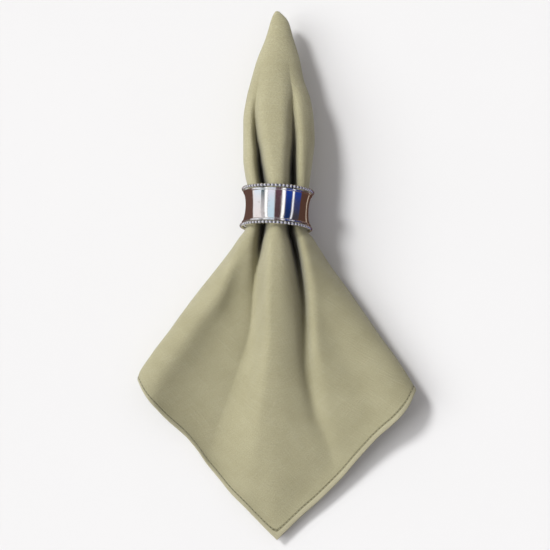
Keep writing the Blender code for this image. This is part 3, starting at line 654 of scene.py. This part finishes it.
def linenFinish():
    shade = Shade("sage linen", Roughness=0.92, Sheen_Weight=0.25, Sheen_Roughness=0.45,
                  Specular_IOR_Level=0.2)
    flat = shade.uv("flat")
    u, v, _ = shade.split(flat)
    pitch = 0.00052  # one thread
    wander = shade.noise(flat, 260, 2.0) - 0.5
    uWave = ((u + wander * 0.0004) * (math.pi / pitch)).cos()
    vWave = ((v + wander * 0.0004) * (math.pi / pitch)).cos()
    crossing = uWave * vWave
    weave = (abs(uWave) + crossing).most(abs(vWave) - crossing) * 0.5
    slubsU = shade.noise(flat, 900, 2.0, (1.0, 0.06, 1.0))
    slubsV = shade.noise(flat, 900, 2.0, (0.06, 1.0, 1.0))
    slubs = slubsU.between(0.42, 0.78) + slubsV.between(0.42, 0.78)
    mottle = shade.noise(flat, 45, 3.0)
    grain = shade.noise(flat, 1500, 1.0) - 0.5
    light = shade.mix(mottle.between(0.3, 0.7), linenColours["darker"], linenColours["lighter"])
    threads = shade.mix(weave.between(0.1, 0.75), linenColours["gaps"], linenColours["threads"])
    coloured = shade.mix(1.0, light, threads, "MULTIPLY")
    slubbed = shade.mix(slubs * 0.16, coloured, linenColours["slubs"])
    grainy = shade.mix(grain.between(-0.25, 0.25) * 0.5, slubbed, linenColours["grain"])
    edge = abs(u).most(abs(v))
    seamAt = clothSizes["seam"] * mm
    seam = 1 - abs(edge - seamAt).between(0.0002, 0.0009)
    hemmed = shade.mix(edge.between(seamAt + 0.0005, seamAt + 0.0009) * 0.22, grainy,
                       linenColours["hem"])
    seamed = shade.mix(seam * 0.85, hemmed, linenColours["seam"])
    # painted shade: the colour is pulled toward near black at the bottoms of the two main folds by
    # the ring
    deep, _, _ = shade.split(shade.uv("deep"))
    shaded = shade.mix(deep.between(0.1, 0.9) * 0.85, seamed, linenColours["deep"])
    height = weave + slubs * 0.6 + mottle * 0.8 + grain * 0.8
    shade.feed(Base_Color=shaded, Roughness=0.86 + weave * 0.1,
               Normal=shade.bump(height, 0.0002, 0.8))
    return shade.made


# the stitches along the hem

stitchSizes = {"pitch": 2.7, "long": 2.1, "thick": 0.42, "high": 0.3, "seed": 7}  # millimetres


def nodeTree(name, sizes):
    tree = bpy.data.node_groups.new(name, "GeometryNodeTree")
    tree.interface.new_socket("Geometry", in_out="INPUT", socket_type="NodeSocketGeometry")
    for key, value in sizes.items():
        kind = "NodeSocketInt" if isinstance(value, int) else "NodeSocketFloat"
        tree.interface.new_socket(key, in_out="INPUT", socket_type=kind)
    tree.interface.new_socket("Geometry", in_out="OUTPUT", socket_type="NodeSocketGeometry")
    return tree


def geoNode(tree, kind, settings=None, inputs=None):
    node = tree.nodes.new(kind)
    for key, value in (settings or {}).items():
        setattr(node, key, value)
    for key, value in (inputs or {}).items():
        if isinstance(value, bpy.types.NodeSocket):
            tree.links.new(value, node.inputs[key])
        else:
            node.inputs[key].default_value = value
    return node.outputs


def growPiece(name, carrier, tree, sizes):  # runs a tree and keeps its plain mesh
    grown = carrier.modifiers.new(name, "NODES")
    grown.node_group = tree
    for item in tree.interface.items_tree:
        if item.in_out == "INPUT" and item.name in sizes:
            grown[item.identifier] = sizes[item.name]
    graph = bpy.context.evaluated_depsgraph_get()
    mesh = bpy.data.meshes.new_from_object(carrier.evaluated_get(graph))
    carrier.modifiers.remove(grown)
    bpy.data.objects.remove(carrier, do_unlink=True)
    mesh.name = name
    for polygon in mesh.polygons:
        polygon.use_smooth = True
    return addObject(name, mesh)


def stitchTree(material):
    sizes = {key: value if key == "seed" else value * mm for key, value in stitchSizes.items()}
    tree = nodeTree("hem stitches", sizes)
    given = tree.nodes.new("NodeGroupInput").outputs
    line = geoNode(tree, "GeometryNodeMeshToCurve", inputs={"Mesh": given["Geometry"]})
    even = geoNode(tree, "GeometryNodeResampleCurve", {"mode": "LENGTH"},
                   {"Curve": line["Curve"], "Length": given["pitch"]})
    bead = geoNode(tree, "GeometryNodeMeshUVSphere",
                   inputs={"Segments": 8, "Rings": 6, "Radius": 0.5})
    lift = geoNode(tree, "GeometryNodeInputNamedAttribute", {"data_type": "FLOAT_VECTOR"},
                   {"Name": "lift"})
    tangent = geoNode(tree, "GeometryNodeInputTangent")
    upright = geoNode(tree, "FunctionNodeAlignRotationToVector", {"axis": "Z"},
                      {"Vector": lift["Attribute"]})
    turned = geoNode(tree, "FunctionNodeAlignRotationToVector", {"axis": "X", "pivot_axis": "Z"},
                     {"Rotation": upright["Rotation"], "Vector": tangent["Tangent"]})
    sway = geoNode(tree, "FunctionNodeRandomValue", {"data_type": "FLOAT_VECTOR"},
                   {0: (-0.02, -0.04, -0.09), 1: (0.02, 0.04, 0.09), "Seed": given["seed"]})
    swayed = geoNode(tree, "FunctionNodeRotateRotation", {"rotation_space": "LOCAL"},
                     {"Rotation": turned["Rotation"], "Rotate By": sway[0]})
    scale = geoNode(tree, "ShaderNodeCombineXYZ",
                    inputs={"X": given["long"], "Y": given["thick"], "Z": given["high"]})
    placed = geoNode(tree, "GeometryNodeInstanceOnPoints", inputs={
        "Points": even["Curve"], "Instance": bead["Mesh"], "Rotation": swayed["Rotation"],
        "Scale": scale["Vector"]})
    real = geoNode(tree, "GeometryNodeRealizeInstances", inputs={"Geometry": placed["Instances"]})
    dressed = geoNode(tree, "GeometryNodeSetMaterial", inputs={"Geometry": real["Geometry"],
                                                              "Material": material})
    tree.links.new(dressed["Geometry"], tree.nodes.new("NodeGroupOutput").inputs["Geometry"])
    return tree, sizes


def makeStitches(seam, normals, finish):
    points = seam * mm
    points[:, 2] = np.maximum(points[:, 2], 0.1 * mm)  # pressed into the cloth where it rests
    edges = [(k, (k + 1) % len(points)) for k in range(len(points))]
    mesh = bpy.data.meshes.new("stitch line")
    mesh.from_pydata([tuple(point) for point in points], edges, [])
    lift = mesh.attributes.new("lift", "FLOAT_VECTOR", "POINT")
    lift.data.foreach_set("vector", normals.astype(np.float32).ravel())
    return growPiece("hem_stitches", addObject("stitch line", mesh), *stitchTree(finish))


def threadFinish():
    shade = Shade("stitch thread", Roughness=0.8, Sheen_Weight=0.2)
    place = shade.add("ShaderNodeTexCoord")["Object"]
    twist = shade.noise(place, 2600, 1.0, (1.0, 2.5, 1.0))
    colour = shade.mix(twist.between(0.35, 0.65), (0.27, 0.255, 0.165), (0.42, 0.40, 0.28))
    shade.feed(Base_Color=colour, Normal=shade.bump(twist, 0.0001, 0.6))
    return shade.made


# the silver ring: a turned, waisted band and a beaded wire on each rim

ringSizes = {  # millimetres
    "y": 39.7, "z": 24.0, "turn": -3.2,  # its middle, and degrees about the upright
    "waist": 20.8, "rim": 22.7, "curve": 2.4,  # radii, and how late the band flares
    "half": 10.7, "wall": 1.15,  # half its width, and its thickness
    "edge": 0.16, "edgeOut": 0.18, "edgeIn": 0.2,  # how far its edges are rounded
    "line": 9.7, "lineHigh": 0.42, "lineHalf": 0.5,  # the raised line by each rim
    "steps": 240, "beads": 12.2,  # steps round, and the beads' place from the middle
    "uvRadius": 20.0,  # turns an angle round the band into a length
}
beadSizes = {
    "count": 58, "radius": 1.15, "neck": 0.62, "ringRadius": 22.85,  # radii in millimetres
    "segments": 14, "rings": 9,  # of each bead
    "steps": 116, "sides": 10,  # of the necks, which are one ring of wire
}
ringPlace = (Matrix.Translation((0, ringSizes["y"] * mm, ringSizes["z"] * mm))
             @ Matrix.Rotation(math.radians(ringSizes["turn"]), 4, "Z")
             @ Matrix.Rotation(math.pi / 2, 4, "X"))


def bandRadius(out):
    flare = ringSizes["rim"] - ringSizes["waist"]
    return ringSizes["waist"] + flare * (abs(out) / ringSizes["half"]) ** ringSizes["curve"]


def lineHeight(out):
    near = max(0, 1 - (abs(abs(out) - ringSizes["line"]) / ringSizes["lineHalf"]) ** 2)
    return ringSizes["lineHigh"] * math.sqrt(near)


def bandProfile():  # one closed turn round the wall, outside first: radius and place across
    half, edge = ringSizes["half"], ringSizes["edge"]
    rim, wall = ringSizes["rim"], ringSizes["wall"]
    outs = np.concatenate([np.linspace(0, 8.7, 17),
                           np.linspace(9.0, 10.4, 22),  # closer over the raised line
                           [half - ringSizes["edgeOut"]]])
    outs = np.concatenate([outs[::-1], -outs[1:]])
    inside = half - ringSizes["edgeIn"]
    lines = [(bandRadius(out) + lineHeight(out), out) for out in outs]
    lines += [(rim - edge, -half), (rim - wall + edge, -half)]
    lines += [(bandRadius(out) - wall, out) for out in np.linspace(-inside, inside, 21)]
    lines += [(rim - wall + edge, half), (rim - edge, half)]
    return np.array(lines)


def makeBand(finish):
    profile = bandProfile()
    run = np.concatenate([[0], np.cumsum(np.linalg.norm(np.diff(profile, axis=0), axis=1))])
    steps, count = ringSizes["steps"], len(profile)
    angles = 2 * math.pi * np.arange(steps) / steps
    points = np.stack([profile[None, :, 0] * np.cos(angles)[:, None],
                       profile[None, :, 0] * np.sin(angles)[:, None],
                       np.broadcast_to(profile[None, :, 1], (steps, count))], axis=2)
    faces = []
    for step in range(steps):
        beside = (step + 1) % steps
        for k in range(count):
            after = (k + 1) % count
            faces.append((step * count + k, step * count + after,
                          beside * count + after, beside * count + k))
    along = angles * (ringSizes["uvRadius"] * mm)
    flat = np.stack([np.broadcast_to(along[:, None], (steps, count)),
                     np.broadcast_to(run[None, :] * mm, (steps, count))], axis=2)
    band = meshPiece("silver_band", points.reshape(-1, 3), faces, finish)
    addUv(band, "turned", flat.reshape(-1, 2))
    band.data.transform(ringPlace)
    return band


def beadTree(material, dark):
    sizes = {key: value if isinstance(value, int) else value * mm
             for key, value in beadSizes.items()}
    tree = nodeTree("beaded wire", sizes)
    given = tree.nodes.new("NodeGroupInput").outputs
    circle = geoNode(tree, "GeometryNodeCurvePrimitiveCircle",
                     inputs={"Resolution": given["steps"], "Radius": given["ringRadius"]})
    places = geoNode(tree, "GeometryNodeResampleCurve", {"mode": "COUNT"},
                     {"Curve": circle["Curve"], "Count": given["count"]})
    bead = geoNode(tree, "GeometryNodeMeshUVSphere", inputs={
        "Segments": given["segments"], "Rings": given["rings"], "Radius": given["radius"]})
    beads = geoNode(tree, "GeometryNodeInstanceOnPoints",
                    inputs={"Points": places["Curve"], "Instance": bead["Mesh"]})
    real = geoNode(tree, "GeometryNodeRealizeInstances", inputs={"Geometry": beads["Instances"]})
    wire = geoNode(tree, "GeometryNodeCurvePrimitiveCircle",
                   inputs={"Resolution": given["sides"], "Radius": given["neck"]})
    neck = geoNode(tree, "GeometryNodeCurveToMesh",
                   inputs={"Curve": circle["Curve"], "Profile Curve": wire["Curve"]})
    join = tree.nodes.new("GeometryNodeJoinGeometry")
    # the wire between the beads takes the darkened silver, as painted shade
    for shape, finish in ((real["Geometry"], material), (neck["Mesh"], dark)):
        dressed = geoNode(tree, "GeometryNodeSetMaterial",
                          inputs={"Geometry": shape, "Material": finish})
        tree.links.new(dressed["Geometry"], join.inputs["Geometry"])
    tree.links.new(join.outputs["Geometry"],
                   tree.nodes.new("NodeGroupOutput").inputs["Geometry"])
    return tree, sizes


def makeBeads(name, side, finish, dark):
    carrier = addObject("bead carrier", bpy.data.meshes.new("bead carrier"))
    beads = growPiece(name, carrier, *beadTree(finish, dark))
    beads.data.transform(ringPlace @ Matrix.Translation((0, 0, side * ringSizes["beads"] * mm)))
    return beads


def silverFinish(name, scratched, tone=1.0):  # a low tone paints shade onto the wire between the beads
    shade = Shade(name, Metallic=1.0)
    place = shade.add("ShaderNodeTexCoord")["Object"]
    smudge = shade.noise(place, 160, 3.0)
    tarnish = shade.noise(place, 420, 2.0)
    clean, dull = [tuple(tone * value for value in colour)
                   for colour in ((0.90, 0.89, 0.88), (0.78, 0.755, 0.72))]
    colour = shade.mix(tarnish.between(0.55, 0.85), clean, dull)
    grain = shade.noise(shade.uv("turned"), 5200, 2.0, (0.02, 1.0, 1.0)) if scratched else tarnish
    shade.feed(Base_Color=colour, Roughness=0.08 + smudge.between(0.45, 0.8) * 0.08,
               Normal=shade.bump(grain, 0.000012, 0.5))
    return shade.made


# floor, light cards, lamps and camera

cameraSizes = {  # the camera looks from the -Y side at a place near the origin
    "distance": 1.15, "elevation": 82.5, "field": 18.2056,  # metres and degrees
    "x": -1.3, "v": -0.7635,  # millimetres to the right and up in the picture
}
lampSizes = (  # power, degrees above the floor, degrees wide, degrees round from +X
    ("sun", 2.3, 47.0, 13.0, 146.0),
    ("window", 1.6, 40.0, 40.0, 190.0),
)
skySizes = {"power": 0.42, "colour": (1.0, 0.965, 0.97)}
floorSizes = {"reach": 4000.0, "z": -0.02, "mirroredZ": -0.05}  # millimetres
cardSizes = {"radius": 1400.0, "reach": 2600.0, "blend": 0.3}  # millimetres, and a share of the reach
cardBands = (  # reflections round the band, degrees from straight up, far side and near side
    (-99, -61, (0.76, 0.88, 1.0), (0.88, 0.82, 0.82)),
    (-60, -47, (0.03, 0.08, 0.10), (0.55, 0.52, 0.53)),
    (-46, -36, (1.3, 1.3, 1.3), (1.2, 1.2, 1.2)),
    (-34, -10, (0.80, 0.78, 0.90), (0.58, 0.74, 0.86)),
    (-8, 15, (0.12, 0.055, 0.08), (0.09, 0.05, 0.055)),
    (17, 27, (1.3, 1.3, 1.3), (1.2, 1.2, 1.15)),
    (29, 54, (0.014, 0.05, 0.32), (0.01, 0.028, 0.11)),
    (56, 61, (1.2, 1.2, 1.2), (0.9, 0.9, 1.0)),
    (63, 99, (0.014, 0.05, 0.30), (0.05, 0.045, 0.06)),
)
mirroredSizes = {  # a painted reflection: glowing browns and a stripe that the ring's sides mirror in place of the pale floor
    "left": (0.12, 0.065, 0.052), "right": (0.085, 0.042, 0.03), "far": (0.88, 0.84, 0.84),
    "farFrom": -240.0, "farTo": -320.0,  # millimetres along X, where the left turns pale
    "stripeFrom": 46.0, "stripeTo": 55.0, "fade": 1.0,  # a lighter stripe along X, and its soft edge
    "stripeNear": (0.28, 0.17, 0.12), "stripeAway": (0.60, 0.50, 0.40),
    "awayFrom": 20.0, "awayTo": 60.0,  # along Y, where the stripe changes its colour
}


def glowing(name):
    return Shade(name, Base_Color=(0, 0, 0, 1), Specular_IOR_Level=0.0, Emission_Strength=1.0)


def onlyMirrored(backdrop):  # seen in reflections, and nowhere else
    backdrop.visible_camera = False
    backdrop.visible_diffuse = False
    backdrop.visible_shadow = False
    backdrop.visible_transmission = False


def makeCard(name, low, high, away, near):  # an arched strip over the ring
    radius, reach = cardSizes["radius"], cardSizes["reach"]
    shade = glowing(name)
    _, y, _ = shade.split(shade.add("ShaderNodeTexCoord")["Object"])
    blend = cardSizes["blend"] * reach * mm
    shade.feed(Emission_Color=shade.mix(y.between(-blend, blend), away, near))
    angles = np.radians(np.linspace(low, high, 9))
    points = [(radius * math.sin(angle), y, ringSizes["z"] + radius * math.cos(angle))
              for angle in angles for y in (-reach, reach)]
    faces = [(2 * k, 2 * k + 1, 2 * k + 3, 2 * k + 2) for k in range(len(angles) - 1)]
    card = meshPiece(name, points, faces, shade.made)
    card.data.transform(Matrix.Translation((0, ringSizes["y"] * mm, 0))
                        @ Matrix.Rotation(math.radians(ringSizes["turn"]), 4, "Z"))
    onlyMirrored(card)


def makePlane(name, height, finish):
    reach = floorSizes["reach"]
    points = [(-reach, -reach, height), (reach, -reach, height),
              (reach, reach, height), (-reach, reach, height)]
    return meshPiece(name, points, [(0, 1, 2, 3)], finish, smooth=False)


def makeFloor():
    shade = Shade("pale floor", Roughness=0.7, Specular_IOR_Level=0.1)
    place = shade.add("ShaderNodeTexCoord")["Object"]
    grain = shade.noise(place, 6, 3.0)
    shade.feed(Base_Color=shade.mix(grain, (0.72, 0.72, 0.72), (0.74, 0.74, 0.74)))
    floor = makePlane("floor", floorSizes["z"], shade.made)
    floor.visible_glossy = False


def makeMirroredFloor():
    sizes = mirroredSizes
    # painted reflection: a glowing plane that only reflections see, its colours standing in for what
    # the ring's sides mirror
    shade = glowing("dark wood")
    x, y, _ = shade.split(shade.add("ShaderNodeTexCoord")["Object"])
    fade = sizes["fade"] * mm
    begin, end = sizes["stripeFrom"] * mm, sizes["stripeTo"] * mm
    stripe = x.between(begin, begin + fade) - x.between(end, end + fade)
    paintedReflection = shade.mix(x.between(-fade, fade), sizes["left"], sizes["right"])
    near = x.between(sizes["farTo"] * mm, sizes["farFrom"] * mm)
    paler = shade.mix(1 - near, paintedReflection, sizes["far"])
    away = y.between(sizes["awayFrom"] * mm, sizes["awayTo"] * mm)
    light = shade.mix(away, sizes["stripeNear"], sizes["stripeAway"])
    shade.feed(Emission_Color=shade.mix(stripe, paler, light))
    onlyMirrored(makePlane("mirrored_floor", floorSizes["mirroredZ"], shade.made))


def makeLamps():
    for name, power, above, wide, around in lampSizes:
        data = bpy.data.lights.new(name, "SUN")
        data.energy, data.angle = power, math.radians(wide)
        lamp = addObject(name, data)
        high, turn = math.radians(above), math.radians(around)
        toLamp = Vector((math.cos(high) * math.cos(turn), math.cos(high) * math.sin(turn),
                         math.sin(high)))
        lamp.rotation_euler = toLamp.to_track_quat("Z", "Y").to_euler()
        lamp.visible_glossy = False
    world = bpy.data.worlds.new("soft room")
    world.use_nodes = True
    sky = world.node_tree.nodes["Background"]
    sky.inputs["Color"].default_value = (*skySizes["colour"], 1)
    sky.inputs["Strength"].default_value = skySizes["power"]
    bpy.context.scene.world = world


def makeCamera():
    data = bpy.data.cameras.new("camera")
    camera = addObject("camera", data)
    high = math.radians(cameraSizes["elevation"])
    data.sensor_width = 36.0
    data.lens = 18.0 / math.tan(math.radians(cameraSizes["field"] / 2))
    up = Vector((0, math.sin(high), math.cos(high)))
    away = Vector((0, -math.cos(high), math.sin(high)))
    aim = Vector((cameraSizes["x"] * mm, 0, 0)) + up * cameraSizes["v"] * mm
    camera.location = aim + away * cameraSizes["distance"]
    camera.rotation_mode = "QUATERNION"
    camera.rotation_quaternion = away.to_track_quat("Z", "Y")
    bpy.context.scene.camera = camera


# everything together

bpy.context.scene.view_settings.view_transform = "Standard"
makeCamera()
makeFloor()
makeMirroredFloor()
makeLamps()
for index, cardBand in enumerate(cardBands):
    makeCard(f"light_card_{index}", *cardBand)
print("stage, lamps and camera done")

cloth, seamPoints, seamNormals = makeCloth(linenFinish())
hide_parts("napkin")
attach(cloth, "root")
print("cloth done:", len(cloth.data.polygons), "faces")

stitches = makeStitches(seamPoints, seamNormals, threadFinish())
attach(stitches, "root")
print("stitches done:", len(stitches.data.polygons), "faces")

bandSilver = silverFinish("polished silver", True)
beadSilver = silverFinish("bead silver", False)
# painted shade: the wire between the beads is the same silver at 0.12 of its brightness
paintedShadeSilver = silverFinish("silver darkened as painted shade", False, 0.12)
band = makeBand(bandSilver)
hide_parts("ring_band")
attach(band, "root")
for name, side in (("upper", -1), ("lower", 1)):
    beads = makeBeads("silver_beads_" + name, side, beadSilver, paintedShadeSilver)
    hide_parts("ring_beads_" + name)
    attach(beads, "root")
print("ring done")
